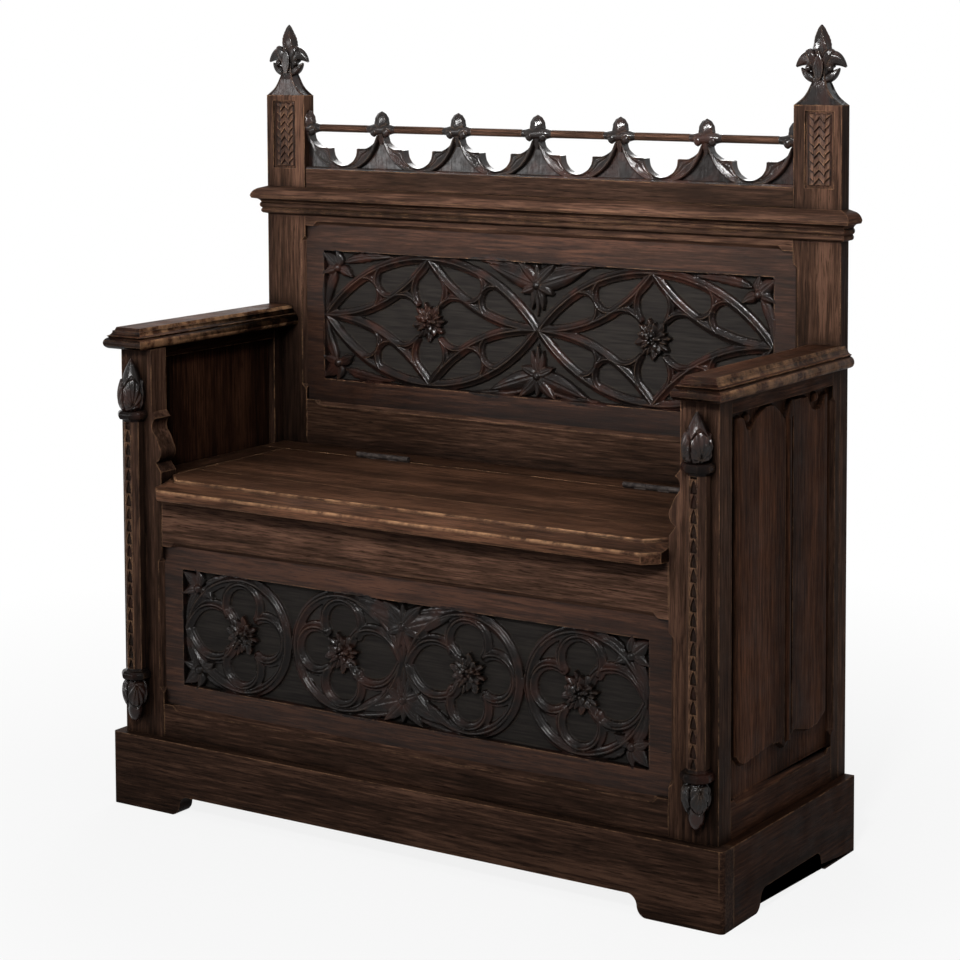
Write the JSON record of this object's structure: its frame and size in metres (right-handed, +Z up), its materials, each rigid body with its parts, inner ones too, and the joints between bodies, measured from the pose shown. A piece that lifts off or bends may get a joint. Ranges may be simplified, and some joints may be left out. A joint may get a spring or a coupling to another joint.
{
  "type": "hall bench",
  "caption": "Framed oak hall bench with carved panels, armrests, a pierced crest gallery and a hinged seat over a storage box.",
  "frame": {"origin": "middle of the footprint on the floor", "axes": "+X along the seat to the sitter's left, +Y from the nosing to the back, +Z up"},
  "size_m": [1.072, 0.42, 1.19],
  "materials": {
    "oak_case": "dark stained oak, waxed",
    "oak_carved": "blackened carved oak, polished by wax",
    "oak_seat": "stained oak, worn lighter along its edges",
    "iron": "dark iron"
  },
  "bodies": {
    "case": {"plinth_front": "oak_case", "plinth_left": "oak_case", "plinth_right": "oak_case", "plinth_back": "oak_case", "plinth_blocks": "oak_case", "front_top_rail": "oak_case", "front_bottom_rail": "oak_case", "front_post_left": "oak_case", "front_post_right": "oak_case", "side_bottom_rail_left": "oak_case", "side_bottom_rail_right": "oak_case", "side_top_rail_left": "oak_case", "side_top_rail_right": "oak_case", "side_stile_left": "oak_case", "side_stile_right": "oak_case", "front_panel": "oak_case", "back_top_rail": "oak_case", "back_seat_rail": "oak_case", "back_bottom_rail": "oak_case", "lower_back_board": "oak_case", "rear_post_left": "oak_case", "rear_post_right": "oak_case", "back_panel": "oak_case", "side_panel_left": "oak_case", "side_panel_right": "oak_case", "arm_left": "oak_case", "arm_right": "oak_case", "cornice_front": "oak_case", "cornice_left": "oak_case", "cornice_right": "oak_case", "crest_board": "oak_case", "gallery_rail": "oak_case", "box_bottom": "oak_case", "seat_bearers": "oak_case", "front_tracery": "oak_carved", "front_bosses": "oak_carved", "back_tracery": "oak_carved", "back_bosses": "oak_carved", "gallery": "oak_carved", "finial_left": "oak_carved", "finial_right": "oak_carved", "pilaster_left": "oak_carved", "pilaster_right": "oak_carved", "pilaster_bud_left": "oak_carved", "pilaster_bud_right": "oak_carved", "seat_rear_strip": "oak_seat", "seat_side_strip_left": "oak_seat", "seat_side_strip_right": "oak_seat", "hinge_fixed_leaves": "iron", "hinge_pins": "iron", "hinge_screws_case": "iron"},
    "seat_lid": {"lid_rear_board": "oak_seat", "lid_front_board": "oak_seat", "lid_battens": "oak_seat", "hinge_lid_leaves": "iron", "hinge_screws_lid": "iron"}
  },
  "joints": [
    {"name": "lid", "type": "hinge", "parent": "case", "child": "seat_lid", "pos_m": [0, 0.125, 0.5153], "axis": [-1, 0, 0], "range_deg": [0, 98]}
  ]
}
